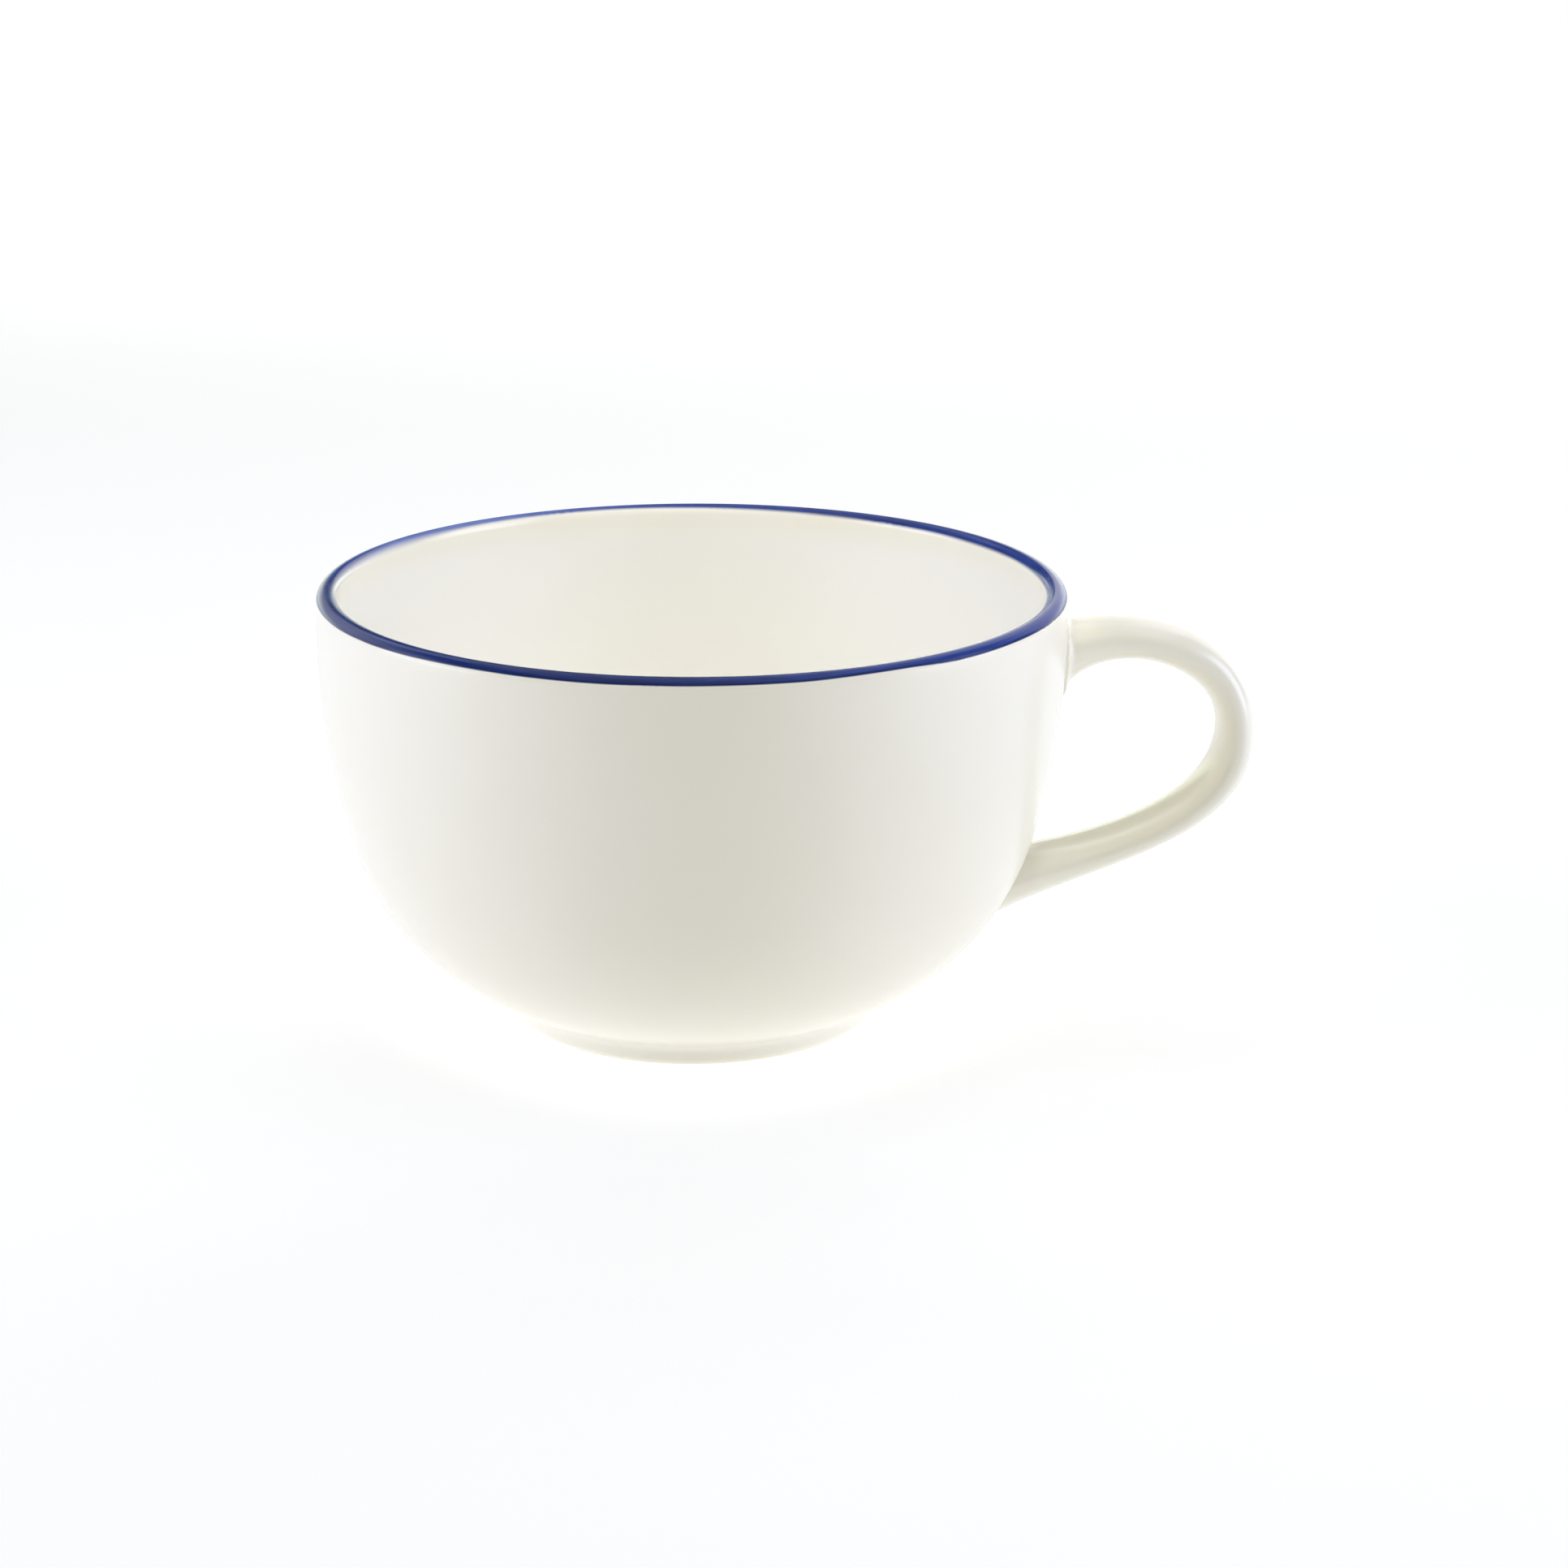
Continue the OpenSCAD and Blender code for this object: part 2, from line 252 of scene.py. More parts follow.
# handle: a strap between an outer and an inner curve, in millimetres and degrees, as the CAD frame has it
handle = {
    "reach": 25.0, "tipDrop": 20.5, "thick": 4.6, "wide": 10.4, "rootWide": 11.4, "square": 2.3,
    "upperDrop": 5.5, "upperDepth": 8.3, "lowerHeight": 9.9, "lowerDepth": 10.5, "flare": 1.2, "slip": 0.5,
    "outerRise": 16.0, "outerStart": 4.4, "outerCrown": 18.0, "outerSweep": 15.3, "outerRun": 15.4, "outerLand": 35.6,
    "innerRise": 53.0, "innerStart": 9.5, "innerCrown": 9.0, "innerSweep": 12.3, "innerRun": 4.2, "innerLand": 3.0,
    "innerLift": 0.8,
    "sink": 60.0,                                                            # how fast it runs on into the wall
    "topSearch": (-0.05, 0.10), "lowSearch": (1.05, 0.88), "halvings": 48,   # shares between which it meets the wall
    "stations": 220, "sides": 112, "capRings": 8, "slipRows": 9,
}


# arc of the outside that points lie nearest to: the belly's below the common tangent, else the wall's
def wallCentreFor(p):
    r = np.hypot(p[..., 0], p[..., 1])
    flat = np.stack([r, p[..., 2]], -1)
    split = facing(bowl["wallLean"])
    d = flat - curves["bellyCentre"]
    low = (split[0] * d[..., 1] - split[1] * d[..., 0] < 0)[..., None]
    centre = np.where(low, curves["bellyCentre"], curves["wallCentre"])
    radius = np.where(low[..., 0], curves["bellyRadius"], curves["wallRadius"])
    return flat, centre, radius


# distance of points from the bowl's outside: length from that arc's centre, less its radius
def offWall(p):
    flat, centre, radius = wallCentreFor(p)
    return np.linalg.norm(flat - centre, axis=-1) - radius


# nearest point of the bowl's outside grown evenly: slide along the line through the arc's centre
def ontoWall(p, grow):
    flat, centre, radius = wallCentreFor(p)
    d = flat - centre
    flat = centre + d * ((radius + grow) / np.linalg.norm(d, axis=-1))[..., None]
    share = flat[..., 0] / np.hypot(p[..., 0], p[..., 1])
    return np.stack([p[..., 0] * share, p[..., 1] * share, flat[..., 1]], -1)


# point of the bowl's outside at a height: the arc's centre plus the root of radius squared less rise squared
def wallAt(h):
    split = (curves["bellyCentre"] + curves["bellyRadius"] * facing(bowl["wallLean"]))[1]
    centre, radius = ("bellyCentre", "bellyRadius") if h < split else ("wallCentre", "wallRadius")
    return np.array([curves[centre][0] + np.sqrt(curves[radius] ** 2 - (h - curves[centre][1]) ** 2), h])


# step of a length at an angle: length times (cosine, sine)
def polar(length, angle):
    return length * np.array([np.cos(np.radians(angle)), np.sin(np.radians(angle))])


# rails: four control points each for the way out from the wall to the tip and the way back from the tip to the wall
def strapRails(h):
    top = bowl["height"] - h["upperDrop"]
    outerTip = np.array([bowl["rimWidth"] / 2 + h["reach"], bowl["height"] - h["tipDrop"]])
    innerTip = outerTip + [-h["thick"], h["innerLift"]]
    a, b = wallAt(top), wallAt(h["lowerHeight"])
    outer = [[a, a + polar(h["outerStart"], h["outerRise"]), outerTip + [0, h["outerCrown"]], outerTip],
             [outerTip, outerTip - [0, h["outerSweep"]], b + polar(h["outerRun"], h["outerLand"]), b]]
    a, b = wallAt(top - h["upperDepth"]), wallAt(h["lowerHeight"] + h["lowerDepth"])
    inner = [[a, a + polar(h["innerStart"], h["innerRise"]), innerTip + [0, h["innerCrown"]], innerTip],
             [innerTip, innerTip - [0, h["innerSweep"]], b + polar(h["innerRun"], h["innerLand"]), b]]
    return np.array(outer), np.array(inner)


rails = strapRails(handle)


# two cubic pieces: the first for t up to a half, the second after it
def alongRail(rail, t):
    second = t >= 0.5
    s = np.where(second, 2 * t - 1, 2 * t)[..., None]
    p = np.where(second[..., None, None], rail[1], rail[0])
    a, b, c, d = (p[..., k, :] for k in range(4))
    return (1 - s) ** 3 * a + 3 * (1 - s) ** 2 * s * b + 3 * (1 - s) * s ** 2 * c + s ** 3 * d


# strap: middle of the rails plus half their distance times the cosine, and half the width times the sine, both raised
# to 2 over square, so that the section is fuller than an ellipse; near the wall it grows by a quarter round, and past
# the ends it runs straight on into the wall
def strap(t, angle):
    h = handle
    along = np.clip(t, 0, 1)
    outer, inner = alongRail(rails[0], along), alongRail(rails[1], along)
    middle, half = (outer + inner) / 2, (outer - inner) / 2
    ends = (rails[0][[0, 1], [0, 3]] + rails[1][[0, 1], [0, 3]]) / 2
    near = np.minimum(np.linalg.norm(middle - ends[0], axis=-1), np.linalg.norm(middle - ends[1], axis=-1))
    flare = h["flare"] - np.sqrt(h["flare"] ** 2 - np.clip(h["flare"] - near, 0, None) ** 2)
    half = half * (1 + flare / np.linalg.norm(half, axis=-1))[..., None]
    wide = (h["wide"] + (h["rootWide"] - h["wide"]) * np.abs(2 * along - 1) ** 3) / 2 + flare
    power = 2 / h["square"]
    c, s = np.cos(angle), np.sin(angle)
    c, s = np.sign(c) * np.abs(c) ** power, np.sign(s) * np.abs(s) ** power
    toWall = np.stack([curves["wallCentre"] - ends[0], curves["bellyCentre"] - ends[1]])
    toWall /= np.linalg.norm(toWall, axis=1)[:, None]
    before, after = np.clip(-t, 0, None)[..., None], np.clip(t - 1, 0, None)[..., None]
    point = middle + half * c[..., None] + h["sink"] * (before * toWall[0] + after * toWall[1])
    return np.stack([point[..., 0], wide * s, point[..., 1]], -1)


# where each line of the strap meets the grown bowl: halve the span in which the distance changes sign
def meetWall(angle, grow, atTop):
    deep, clear = (np.full_like(angle, t) for t in handle["topSearch" if atTop else "lowSearch"])
    for _ in range(handle["halvings"]):
        middle = (deep + clear) / 2
        outside = offWall(strap(middle, angle)) > grow
        clear, deep = np.where(outside, middle, clear), np.where(outside, deep, middle)
    return (deep + clear) / 2


# end face on the grown bowl: the ring drawn in towards its middle in even steps, then set onto the wall
def endRings(ring, grow, count):
    middle = ring.mean(0)
    share = np.linspace(1, 0, count + 1)[1:, None, None]
    rings = ontoWall(middle + (ring - middle) * share, grow)
    return rings[:-1], rings[-1, 0]


# strap between two cuts: rows at the given shares of the way from one to the other, and an end face at both
def cappedStrap(name, angle, first, last, share, firstGrow, lastGrow):
    rows = strap(first + (last - first) * share[:, None], np.broadcast_to(angle, (len(share), len(angle))))
    firstRings, firstMiddle = endRings(rows[0], firstGrow, handle["capRings"])
    lastRings, lastMiddle = endRings(rows[-1], lastGrow, handle["capRings"])
    rows = np.concatenate([firstRings[::-1], rows, lastRings])
    return closedRows(name, kilnWarp(rows), kilnWarp(firstMiddle), kilnWarp(lastMiddle))


# handle: from pad to pad, with stations closer together at the roots by a cosine
def makeHandle():
    h = handle
    angle = np.arange(h["sides"]) * (2 * np.pi / h["sides"])
    top, low = meetWall(angle, h["slip"], True), meetWall(angle, h["slip"], False)
    share = (1 - np.cos(np.linspace(0, np.pi, h["stations"]))) / 2
    return cappedStrap("earHandle", angle, top, low, share, h["slip"], h["slip"])


# pad of slip under a root: from the wall out to the handle's end face, along the same strap
def makeSlip(name, atTop):
    h = handle
    angle = np.arange(h["sides"]) * (2 * np.pi / h["sides"])
    onBowl, onHandle = meetWall(angle, 0.0, atTop), meetWall(angle, h["slip"], atTop)
    return cappedStrap(name, angle, onBowl, onHandle, np.linspace(0, 1, h["slipRows"]), 0.0, h["slip"])


pieces = {
    "bowl": makeBowl(),
    "rim_band": makeBand(),
    "handle": makeHandle(),
    "upper_slip_joint": makeSlip("upperSlip", True),
    "lower_slip_joint": makeSlip("lowerSlip", False),
}
for node, piece in pieces.items():
    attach(piece, "root")
    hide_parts(node)
    print("made", piece.name, "with", len(piece.data.polygons), "faces")


# new node with its settings
def addNode(tree, kind, **settings):
    node = tree.nodes.new(kind)
    for key, value in settings.items():
        setattr(node, key, value)
    return node


# a socket takes a link from another node's output, or a plain value
def feed(tree, socket, value):
    if hasattr(value, "is_output"):
        tree.links.new(value, socket)
    else:
        socket.default_value = value


# one step of arithmetic on a, or on a and b
def calc(tree, operation, a, b=None, clamp=False):
    node = addNode(tree, "ShaderNodeMath", operation=operation, use_clamp=clamp)
    feed(tree, node.inputs[0], a)
    if b is not None:
        feed(tree, node.inputs[1], b)
    return node.outputs[0]


# smooth step from toLow to toHigh while the value goes from low to high
def step(tree, value, low, high, toLow=0.0, toHigh=1.0):
    node = addNode(tree, "ShaderNodeMapRange", interpolation_type="SMOOTHSTEP")
    for name, v in (("Value", value), ("From Min", low), ("From Max", high), ("To Min", toLow), ("To Max", toHigh)):
        feed(tree, node.inputs[name], v)
    return node.outputs["Result"]


# cloudy value between 0 and 1, at so many clouds to the metre
def noise(tree, vector, scale, detail=2.0, rough=0.5):
    node = addNode(tree, "ShaderNodeTexNoise")
    tree.links.new(vector, node.inputs["Vector"])
    feed(tree, node.inputs["Scale"], scale)
    node.inputs["Detail"].default_value = detail
    node.inputs["Roughness"].default_value = rough
    return node.outputs["Fac"]


# noise about zero: (noise - half) times a swing
def swing(tree, value, size):
    return calc(tree, "MULTIPLY", calc(tree, "SUBTRACT", value, 0.5), size)


# colour a, going over to b by a share
def mixColour(tree, share, a, b):
    node = addNode(tree, "ShaderNodeMix", data_type="RGBA")
    feed(tree, node.inputs[0], share)
    feed(tree, node.inputs[6], a)
    feed(tree, node.inputs[7], b)
    return node.outputs[2]


# place on the piece, in metres, and its three parts
def placeParts(tree):
    place = addNode(tree, "ShaderNodeTexCoord").outputs["Object"]
    part = addNode(tree, "ShaderNodeSeparateXYZ")
    tree.links.new(place, part.inputs[0])
    return place, *part.outputs


# distance from the axis: root of x squared plus y squared
def fromAxis(tree, x, y):
    return calc(tree, "SQRT", calc(tree, "ADD", calc(tree, "MULTIPLY", x, x), calc(tree, "MULTIPLY", y, y)))


# empty group with named number inputs and outputs
def newGroup(name, inputs, outputs):
    tree = bpy.data.node_groups.new(name, "ShaderNodeTree")
    for label, value in inputs.items():
        tree.interface.new_socket(name=label, in_out="INPUT", socket_type="NodeSocketFloat").default_value = value
    for label in outputs:
        tree.interface.new_socket(name=label, in_out="OUTPUT", socket_type="NodeSocketFloat")
    return tree, addNode(tree, "NodeGroupInput"), addNode(tree, "NodeGroupOutput")


# skin of the glaze: what each material may change, then how the waves add up and how wide a pinhole is in its cell
glazeSkin = {
    "inputs": {"Drift Size": 28.0, "Ripple Size": 160.0, "Ring Pitch": 900.0,
               "Pinhole Size": 420.0, "Pinhole Share": 0.02},
    "slowSize": 55.0, "rippleShare": 0.35, "ringShare": 0.06, "pinhole": (0.05, 0.13),
}


# glaze group: slow tone drift, ripples of the melt, turning rings left in the clay, and rare pinholes
def glazeGroup(g):
    tree, given, out = newGroup("glazeSkin", g["inputs"], ("Drift", "Height", "Pinholes"))
    place, _, _, z = placeParts(tree)
    drift = noise(tree, place, given.outputs["Drift Size"], 3.0, 0.55)
    ripple = noise(tree, place, given.outputs["Ripple Size"], 2.0, 0.45)
    slow = noise(tree, place, g["slowSize"], 1.0, 0.4)
    pitch = calc(tree, "MULTIPLY", given.outputs["Ring Pitch"], fullTurn)
    rings = calc(tree, "SINE", calc(tree, "MULTIPLY", z, pitch))
    rings = calc(tree, "MULTIPLY", rings, calc(tree, "MULTIPLY", drift, g["ringShare"]))
    height = calc(tree, "ADD", calc(tree, "MULTIPLY", ripple, g["rippleShare"]), calc(tree, "ADD", slow, rings))
    cells = addNode(tree, "ShaderNodeTexVoronoi", feature="F1")
    tree.links.new(place, cells.inputs["Vector"])
    tree.links.new(given.outputs["Pinhole Size"], cells.inputs["Scale"])
    pick = addNode(tree, "ShaderNodeSeparateColor")
    tree.links.new(cells.outputs["Color"], pick.inputs[0])
    chosen = calc(tree, "LESS_THAN", pick.outputs[0], given.outputs["Pinhole Share"])
    dot = step(tree, cells.outputs["Distance"], *g["pinhole"], 1.0, 0.0)
    tree.links.new(drift, out.inputs["Drift"])
    tree.links.new(height, out.inputs["Height"])
    tree.links.new(calc(tree, "MULTIPLY", chosen, dot), out.inputs["Pinholes"])
    return tree


# how the blue was brushed on, and where painted reflection makes it paler: angles in degrees about the lip's middle,
# from the top outwards, and spans across the cup as shares of the radius, from -1 at the left to 1 at the handle
brush = {
    "inputs": {"Inner Edge": -42.0, "Outer Edge": 63.0, "Inner Fade": 13.0, "Outer Fade": 4.0,
               "Wander": 2.5, "Ragged": 3.0},
    # share of a turn from the left side by way of the front, and how pale the blue is there: partly thin brushing,
    # partly painted reflection, paler where the lip mirrors bright surroundings and darkest near the front
    "thin": ((0.0, 0.20), (0.10, 0.20), (0.22, 0.07), (0.32, 0.30), (0.44, 0.38),
             (0.66, 0.20), (0.75, 0.32), (0.86, 0.95), (0.92, 0.85), (1.0, 0.20)),
    "leftSpan": (-0.97, -0.62),
    "leftFade": 29.0, "leftReach": -10.0,                           # inner edge: softer on the left
    "rightSpan": (-0.35, 0.90), "rightReach": -26.0,                # and further in on the right
    "leftDrop": 12.0,                                               # outer edge: low on the left
    "riseSpan": (0.25, 0.50), "frontRise": -6.0,                    # higher at the front right
    "fallSpan": (0.52, 0.66), "frontFall": 13.0,                    # low again beyond that
    "handleSpan": (0.85, 0.98), "handleDrop": 3.0,                  # and a little lower still by the handle
    "wanderSize": 48.0, "brokenSize": 1500.0, "swing": 4.0,         # uneven edges: slow wander and broken patches
    "patchSize": 70.0, "patch": (0.56, 0.70),
    "streakSize": 9.0, "streakAcross": 0.012, "streakShare": 0.6,   # streaks long round the rim, short across the lip
    "gather": (-22.0, -6.0), "gathered": 0.35,                      # colour gathers along the lower edge
    "leftSheen": (4.0, 26.0), "leftSheenShare": 0.14,                          # painted reflection: the blue is paler outside on the left, where the lip mirrors a bright light
}


# band group: how blue the lip is, by a smooth step at each edge of the angle about the lip's middle
def bandGroup(b):
    tree, given, out = newGroup("rimColour", b["inputs"], ("Blue", "Streak", "Thin And Sheen"))
    place, x, y, z = placeParts(tree)
    radius = fromAxis(tree, x, y)
    across = calc(tree, "DIVIDE", x, radius)
    outwards = calc(tree, "SUBTRACT", radius, float(curves["lipCentre"][0] * mm))
    upwards = calc(tree, "SUBTRACT", z, float(curves["lipCentre"][1] * mm))
    angle = calc(tree, "MULTIPLY", calc(tree, "ARCTAN2", outwards, upwards), degree)
    wander = swing(tree, noise(tree, place, b["wanderSize"], 2.0, 0.5), b["swing"])
    broken = swing(tree, noise(tree, place, b["brokenSize"], 3.0, 0.6), b["swing"])
    broken = calc(tree, "MULTIPLY", broken, step(tree, noise(tree, place, b["patchSize"], 1.0, 0.5), *b["patch"]))
    angle = calc(tree, "ADD", angle, calc(tree, "MULTIPLY", wander, given.outputs["Wander"]))
    angle = calc(tree, "ADD", angle, calc(tree, "MULTIPLY", broken, given.outputs["Ragged"]))
    left = step(tree, across, *b["leftSpan"], 1.0, 0.0)
    fade = calc(tree, "ADD", given.outputs["Inner Fade"], calc(tree, "MULTIPLY", left, b["leftFade"]))
    reach = step(tree, across, *b["rightSpan"], 0.0, b["rightReach"])
    reach = calc(tree, "ADD", reach, calc(tree, "MULTIPLY", left, b["leftReach"]))
    reach = calc(tree, "ADD", given.outputs["Inner Edge"], reach)
    edge = calc(tree, "MULTIPLY", left, b["leftDrop"])
    for span, drop in (("riseSpan", "frontRise"), ("fallSpan", "frontFall"), ("handleSpan", "handleDrop")):
        edge = calc(tree, "ADD", edge, step(tree, across, *b[span], 0.0, b[drop]))
    edge = calc(tree, "ADD", given.outputs["Outer Edge"], edge)
    inner = step(tree, angle, calc(tree, "SUBTRACT", reach, fade), calc(tree, "ADD", reach, fade))
    soft = given.outputs["Outer Fade"]
    outer = step(tree, angle, calc(tree, "SUBTRACT", edge, soft), calc(tree, "ADD", edge, soft), 1.0, 0.0)
    along = addNode(tree, "ShaderNodeCombineXYZ")
    tree.links.new(across, along.inputs[0])
    tree.links.new(calc(tree, "DIVIDE", y, radius), along.inputs[1])
    tree.links.new(calc(tree, "MULTIPLY", angle, b["streakAcross"]), along.inputs[2])
    streak = noise(tree, along.outputs[0], b["streakSize"], 4.0, 0.6)
    load = addNode(tree, "ShaderNodeValToRGB")
    stops = load.color_ramp.elements
    # the ramp round the turn is partly painted reflection: the rim is paler where it mirrors bright surroundings and
    # darker near the front
    for share, thin in b["thin"][1:-1]:
        stops.new(share).color = (thin, thin, thin, 1)
    for stop, (_, thin) in ((stops[0], b["thin"][0]), (stops[-1], b["thin"][-1])):
        stop.color = (thin, thin, thin, 1)
    turn = calc(tree, "ADD", calc(tree, "DIVIDE", calc(tree, "ARCTAN2", y, x), fullTurn), 0.5)
    tree.links.new(turn, load.inputs["Fac"])
    thin = calc(tree, "ADD", load.outputs["Color"], swing(tree, streak, b["streakShare"]))
    gathered = step(tree, calc(tree, "SUBTRACT", angle, edge), *b["gather"], 1.0, b["gathered"])
    # painted reflection: on the left the outside of the lip gives way a little to ivory, where the lip mirrors a bright
    # light
    leftSheen = calc(tree, "MULTIPLY", calc(tree, "MULTIPLY", left, step(tree, angle, *b["leftSheen"])), b["leftSheenShare"])
    blue = calc(tree, "MULTIPLY", calc(tree, "MULTIPLY", inner, outer), calc(tree, "SUBTRACT", 1.0, leftSheen))
    tree.links.new(blue, out.inputs["Blue"])
    tree.links.new(streak, out.inputs["Streak"])
    tree.links.new(calc(tree, "MULTIPLY", thin, gathered, True), out.inputs["Thin And Sheen"])
    return tree


glaze, rimColour = glazeGroup(glazeSkin), bandGroup(brush)

# glazed porcelain: body colour and its slow drift, a paler inside as painted light, thick glaze, bare clay and its
# grain
porcelain = {
    "ivory": (0.900, 0.874, 0.755, 1), "warm": (0.888, 0.856, 0.728, 1), "drift": (0.35, 0.7),
    # the first colour on the next line is painted light: a paler, less yellow ivory for the inside of the cup
    "insideLight": (0.905, 0.888, 0.824, 1), "pooled": (0.885, 0.872, 0.790, 1), "poolShare": 0.7,
    "clay": (0.840, 0.800, 0.720, 1), "clayGrain": (0.78, 0.74, 0.66, 1), "pinhole": (0.70, 0.66, 0.56, 1),
    "skin": {"Pinhole Share": 0.002},
    "grainSize": 2600.0, "raggedSize": 420.0, "ragged": 0.9, "bare": (0.42, 0.58), "bareFrom": (0.0, 0.12),
    "rough": 0.235, "roughSwing": 0.02, "roughDrift": (0.2, 0.8), "clayRough": 0.82,
    "coat": 0.18, "coatRough": 0.09, "refraction": 1.5,
    "grainHeight": 0.4, "pinholeDepth": 0.8, "bump": 0.25, "bumpDistance": 0.00012,
}
# fired cobalt: from thick to thin, paler too where painted reflection lightens the rim, pale rings of pinholes and dark
# pits
cobalt = {
    "navy": (0.010, 0.021, 0.105, 1), "royal": (0.032, 0.060, 0.265, 1), "pale": (0.125, 0.175, 0.450, 1),
    "toRoyal": (0.0, 0.4), "toPale": (0.4, 1.0),
    "halo": (0.70, 0.69, 0.74, 1), "pit": (0.010, 0.014, 0.040, 1),
    "skin": {"Pinhole Size": 900.0, "Pinhole Share": 0.05, "Ripple Size": 320.0},
    "burst": {"Pinhole Size": 1000.0, "Pinhole Share": 0.28}, "clusterSize": 95.0, "cluster": (0.58, 0.64),
    "rough": (0.19, 0.27), "roughStreak": (0.3, 0.8), "gloss": 0.12, "coat": 0.04, "coatRough": 0.05, "refraction": 1.5,
    "pinholeDepth": 0.6, "bump": 0.3, "bumpDistance": 0.0001,
}


# empty material with its shader
def startMaterial(name):
    material = bpy.data.materials.new(name)
    material.use_nodes = True
    tree = material.node_tree
    return material, tree, tree.nodes["Principled BSDF"]


# a group placed in a material with its own values
def placeGroup(tree, group, values):
    node = addNode(tree, "ShaderNodeGroup", node_tree=group)
    for key, value in values.items():
        node.inputs[key].default_value = value
    return node


# body colour: ivory that drifts to a warmer tone
def ivoryTone(tree, skin):
    drift = step(tree, skin.outputs["Drift"], *porcelain["drift"])
    return mixColour(tree, drift, porcelain["ivory"], porcelain["warm"])


# blue over ivory: cobalt from navy to pale where the band is, by thinness and painted reflection, white porcelain
# elsewhere, a few pinholes in the colour
def bandOver(tree, ivory, skin, paint):
    colour = mixColour(tree, step(tree, paint.outputs["Thin And Sheen"], *cobalt["toRoyal"]), cobalt["navy"], cobalt["royal"])
    colour = mixColour(tree, step(tree, paint.outputs["Thin And Sheen"], *cobalt["toPale"]), colour, cobalt["pale"])
    colour = mixColour(tree, skin.outputs["Pinholes"], colour, cobalt["halo"])
    return mixColour(tree, paint.outputs["Blue"], ivory, colour)


# last steps of both finishes: the height, less the pinholes' depth, as a bump, and the coat's gloss
def finishGlaze(tree, shader, height, skin, look):
    depth = calc(tree, "MULTIPLY", skin.outputs["Pinholes"], look["pinholeDepth"])
    bump = addNode(tree, "ShaderNodeBump")
    bump.inputs["Strength"].default_value = look["bump"]
    bump.inputs["Distance"].default_value = look["bumpDistance"]
    tree.links.new(calc(tree, "SUBTRACT", height, depth), bump.inputs["Height"])
    tree.links.new(bump.outputs[0], shader.inputs["Normal"])
    shader.inputs["Coat Roughness"].default_value = look["coatRough"]
    shader.inputs["IOR"].default_value = look["refraction"]


# porcelain: ivory, the paler inside (painted light) and thick glaze by the painted values, the blue's soft edge, and
# bare clay with a ragged edge
def porcelainMaterial():
    p = porcelain
    material, tree, shader = startMaterial("glazedPorcelain")
    skin = placeGroup(tree, glaze, p["skin"])
    paint = placeGroup(tree, rimColour, {})
    pool, insideLight, wiped = (addNode(tree, "ShaderNodeAttribute", attribute_name=name).outputs["Fac"]
                          for name in ("glazePool", "paintedInsideLight", "bareClay"))
    place = addNode(tree, "ShaderNodeTexCoord").outputs["Object"]
    grain = noise(tree, place, p["grainSize"], 3.0, 0.6)
    ragged = calc(tree, "ADD", wiped, swing(tree, noise(tree, place, p["raggedSize"], 3.0, 0.6), p["ragged"]))
    bare = calc(tree, "MULTIPLY", step(tree, ragged, *p["bare"]), step(tree, wiped, *p["bareFrom"]))
    # painted light: the paler inside colour stands in for the light inside the cup
    colour = mixColour(tree, insideLight, ivoryTone(tree, skin), p["insideLight"])
    colour = mixColour(tree, calc(tree, "MULTIPLY", pool, p["poolShare"]), colour, p["pooled"])
    colour = mixColour(tree, skin.outputs["Pinholes"], colour, p["pinhole"])
    colour = bandOver(tree, colour, skin, paint)
    clay = mixColour(tree, grain, p["clay"], p["clayGrain"])
    tree.links.new(mixColour(tree, bare, colour, clay), shader.inputs["Base Color"])
    smooth, dull = p["rough"] - p["roughSwing"], p["rough"] + p["roughSwing"]
    glossy = step(tree, skin.outputs["Drift"], *p["roughDrift"], smooth, dull)
    rough = calc(tree, "ADD", glossy, calc(tree, "MULTIPLY", bare, p["clayRough"] - p["rough"]))
    tree.links.new(rough, shader.inputs["Roughness"])
    tree.links.new(calc(tree, "MULTIPLY", calc(tree, "SUBTRACT", 1.0, bare), p["coat"]), shader.inputs["Coat Weight"])
    gritty = calc(tree, "MULTIPLY", calc(tree, "MULTIPLY", grain, bare), p["grainHeight"])
    finishGlaze(tree, shader, calc(tree, "ADD", skin.outputs["Height"], gritty), skin, p)
    return material


# band: blue over ivory with burst bubbles in clusters, duller where the brush left streaks
def bandMaterial():
    c = cobalt
    material, tree, shader = startMaterial("cobaltBand")
    skin = placeGroup(tree, glaze, c["skin"])
    paint = placeGroup(tree, rimColour, {})
    burst = placeGroup(tree, glaze, c["burst"])
    place = addNode(tree, "ShaderNodeTexCoord").outputs["Object"]
    clusters = step(tree, noise(tree, place, c["clusterSize"], 1.0), *c["cluster"])
    pits = calc(tree, "MULTIPLY", calc(tree, "MULTIPLY", burst.outputs["Pinholes"], clusters), paint.outputs["Blue"])
    colour = mixColour(tree, pits, bandOver(tree, ivoryTone(tree, skin), skin, paint), c["pit"])
    tree.links.new(colour, shader.inputs["Base Color"])
    tree.links.new(step(tree, paint.outputs["Streak"], *c["roughStreak"], *c["rough"]), shader.inputs["Roughness"])
    shader.inputs["Specular IOR Level"].default_value = c["gloss"]
    shader.inputs["Coat Weight"].default_value = c["coat"]
    finishGlaze(tree, shader, skin.outputs["Height"], skin, c)
    return material


body, blue = porcelainMaterial(), bandMaterial()
for node, piece in pieces.items():
    piece.data.materials.append(blue if node == "rim_band" else body)
print("materials:", body.name, "and", blue.name)

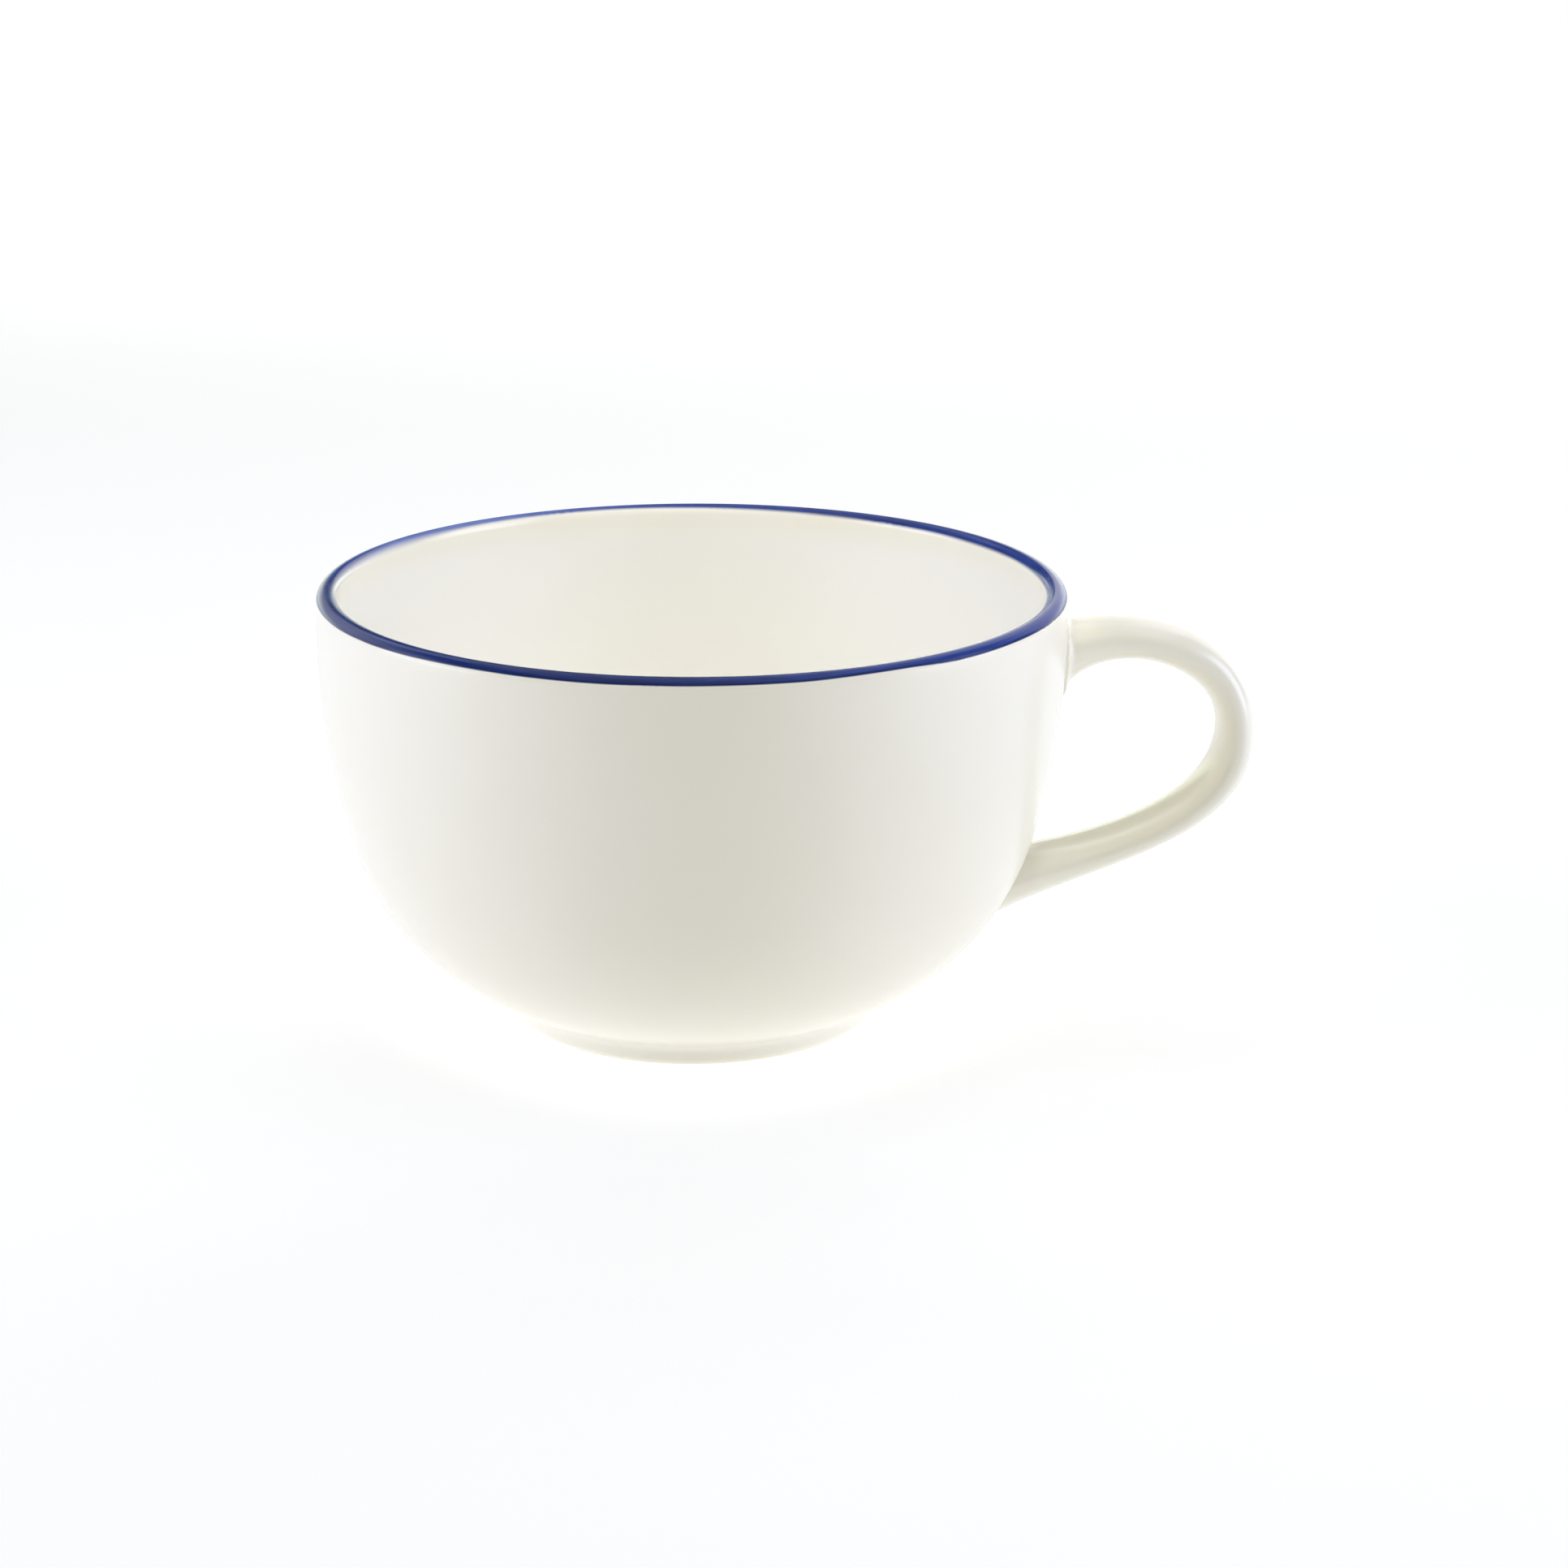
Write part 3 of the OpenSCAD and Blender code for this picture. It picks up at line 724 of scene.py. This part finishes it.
# table top, in metres, and how brightly it glows
studio = {
    "floorSize": 4.0, "gridPoints": 9, "backdrop": (0.95, 0.95, 0.94, 1),
    "paleTone": (0.50, 0.50, 0.50, 1), "dimTone": (0.49, 0.49, 0.49, 1), "toneSize": 3.0,
    "near": (-0.34, -0.14), "frontGlow": 0.28, "glow": 0.565,   # lit table top, dimmer in front of the frame
    "far": (0.35, 1.2), "farGlow": 0.46,                        # brighter again behind the lamps
    "outer": (-1.3, -0.6), "outerGlow": 0.50,                   # and far out in front
    # painted light: the glow close round the foot lights the foot and fills its contact shadow
    "foot": (0.0255, 0.046), "footGlow": 0.17,                  # and close round the foot
    "rough": 0.9, "gloss": 0.1,
}
# soft boxes, with place and size in metres, watts and colour; a lamp with a beam, in degrees, is a narrow one
lamps = {
    "leftBox": {"at": (-0.594, -0.084, 0.20), "size": (0.42, 0.50), "power": 2.25, "tint": (1.0, 1.044, 1.314)},
    "rightBox": {"at": (0.591, -0.104, 0.20), "size": (0.42, 0.50), "power": 2.06, "tint": (1.0, 1.054, 1.344)},
    "frontLeft": {"at": (-0.42, -0.75, 0.45), "size": (0.45, 0.60), "power": 0.30, "tint": (1.0, 0.961, 0.563)},
    "frontRight": {"at": (0.42, -0.75, 0.45), "size": (0.45, 0.60), "power": 0.30, "tint": (1.0, 0.961, 0.563)},
    "ceiling": {"at": (0.0, 0.0, 0.80), "size": (0.90, 0.90), "power": 3.30, "tint": (1.0, 0.986, 0.866)},
    "lowBack": {"at": (0.0, 1.0, 0.11), "size": (2.40, 0.22), "power": 2.117, "tint": (1.0, 1.110, 0.924)},
    "backRight": {"at": (0.50, 0.85, 0.36), "size": (1.00, 0.60), "power": 2.60, "tint": (1.0, 0.951, 0.935)},
    "highBack": {"at": (0.0, 0.70, 0.75), "size": (1.20, 0.30), "power": 1.70, "tint": (1.0, 1.059, 1.168)},
    "overMouth": {"at": (0.0, 0.0, 0.30), "size": (0.04, 0.04), "power": 1.45, "tint": (1.0, 1.02, 1.08), "beam": 18},
    "intoMouth": {"at": (0.0, -0.25, 0.35), "size": (0.08, 0.08), "power": 2.25, "tint": (1.0, 1.0, 1.06), "beam": 24,
                  "aim": (0.0, 0.044, 0.052)},
}
cupMiddle = (0, 0, 0.03)   # where lamps point that have no aim of their own


# floor: an even flat grid; its glow is a sum of smooth steps along Y and one by the distance from the foot
def makeFloor():
    s = studio
    count = s["gridPoints"]
    u = np.linspace(-s["floorSize"], s["floorSize"], count)
    x, y = np.meshgrid(u, u, indexing="ij")
    points = np.stack([x, y, np.zeros_like(x)], -1).reshape(-1, 3)
    i, j = np.meshgrid(np.arange(count - 1), np.arange(count - 1), indexing="ij")
    corners = [i * count + j, (i + 1) * count + j, (i + 1) * count + j + 1, i * count + j + 1]
    mesh = bpy.data.meshes.new("paleFloor")
    mesh.from_pydata(points, [], np.stack(corners, -1).reshape(-1, 4).tolist())
    floor = bpy.data.objects.new("paleFloor", mesh)
    bpy.context.scene.collection.objects.link(floor)
    material, tree, shader = startMaterial("paleFloor")
    place, x, y, _ = placeParts(tree)
    tone = mixColour(tree, noise(tree, place, s["toneSize"], 2.0), s["paleTone"], s["dimTone"])
    tree.links.new(tone, shader.inputs["Base Color"])
    # painted light: the glowing floor is dimmer in front, so the cup's front wall takes less light from it
    near = step(tree, y, *s["near"], s["frontGlow"], s["glow"])
    far = step(tree, y, *s["far"], 0.0, s["farGlow"])
    outer = step(tree, y, *s["outer"], s["outerGlow"], 0.0)
    # painted light: a brighter ring of glow round the foot, lighting the foot and filling its contact shadow
    foot = step(tree, fromAxis(tree, x, y), *s["foot"], s["footGlow"], 0.0)
    glow = calc(tree, "ADD", calc(tree, "ADD", near, foot), calc(tree, "ADD", far, outer))
    tree.links.new(mixColour(tree, glow, (0, 0, 0, 1), (1, 1, 1, 1)), shader.inputs["Emission Color"])
    shader.inputs["Emission Strength"].default_value = 1.0
    shader.inputs["Roughness"].default_value = s["rough"]
    shader.inputs["Specular IOR Level"].default_value = s["gloss"]
    mesh.materials.append(material)


# place of a lamp or camera: its three axes are the columns of its matrix, and its place is the last one
def setPlace(thing, axes, at):
    rows = np.stack(axes, 1).tolist()
    thing.matrix_world = Matrix([[*row, a] for row, a in zip(rows, at)] + [[0, 0, 0, 1]])


# lamp: a rectangle or a narrow spot that shines along its own -Z, from its place to its aim
def makeLight(name, spec):
    narrow = "beam" in spec
    light = bpy.data.lights.new(name, "SPOT" if narrow else "AREA")
    light.energy, light.color = spec["power"], spec["tint"]
    if narrow:
        light.spot_size, light.spot_blend = np.radians(spec["beam"]), 1.0
        light.shadow_soft_size = spec["size"][0] / 2
    else:
        light.shape, light.size, light.size_y = "RECTANGLE", *spec["size"]
    lamp = bpy.data.objects.new(name, light)
    lamp.visible_camera, lamp.visible_glossy = False, not narrow   # the narrow lamps leave no glint
    bpy.context.scene.collection.objects.link(lamp)
    back = np.array(spec["at"]) - np.array(spec.get("aim", cupMiddle))
    back = back / np.linalg.norm(back)
    overhead = abs(back[2]) > 0.95
    side = np.cross([0, 1.0, 0] if overhead else [0, 0, 1.0], back)
    side = side / np.linalg.norm(side)
    setPlace(lamp, [side, np.cross(back, side), back], spec["at"])


# the room gives no light of its own; the camera sees a pale backdrop past the table's edge
def makeRoom():
    world = bpy.data.worlds.new("softRoom")
    world.use_nodes = True
    tree = world.node_tree
    seen = addNode(tree, "ShaderNodeLightPath").outputs["Is Camera Ray"]
    tree.links.new(seen, tree.nodes["Background"].inputs["Strength"])
    tree.nodes["Background"].inputs["Color"].default_value = studio["backdrop"]
    bpy.context.scene.world = world


makeFloor()
for name, spec in lamps.items():
    makeLight(name, spec)
makeRoom()
bpy.context.scene.view_settings.view_transform = "Standard"
bpy.context.scene.view_settings.look = "None"
print("floor and", len(lamps), "lamps set")

# camera: place in metres, turns in degrees, focal length and frame in pixels, sensor in millimetres, clipping in metres
camera = {
    "at": (0.0, -0.380, 0.148706), "tilt": 17.451, "pan": 1.772, "roll": -0.304,
    "focal": 3774.88, "frame": 1932.0, "sensor": 36.0, "clip": (0.01, 20.0),
}


# camera: ahead from pan and tilt, right square to it in the level, then both turned by the roll
def makeCamera(c):
    tilt, pan, roll = np.radians([c["tilt"], c["pan"], c["roll"]])
    ahead = np.array([np.sin(pan) * np.cos(tilt), np.cos(pan) * np.cos(tilt), -np.sin(tilt)])
    right = np.array([np.cos(pan), -np.sin(pan), 0])
    down = np.cross(ahead, right)
    right, down = np.cos(roll) * right + np.sin(roll) * down, np.cos(roll) * down - np.sin(roll) * right
    data = bpy.data.cameras.new("photoCamera")
    data.sensor_fit, data.sensor_width = "HORIZONTAL", c["sensor"]
    data.lens = c["focal"] / c["frame"] * c["sensor"]
    data.clip_start, data.clip_end = c["clip"]
    view = bpy.data.objects.new("photoCamera", data)
    bpy.context.scene.collection.objects.link(view)
    setPlace(view, [right, -down, -ahead], c["at"])
    bpy.context.scene.camera = view
    print("camera set")


makeCamera(camera)
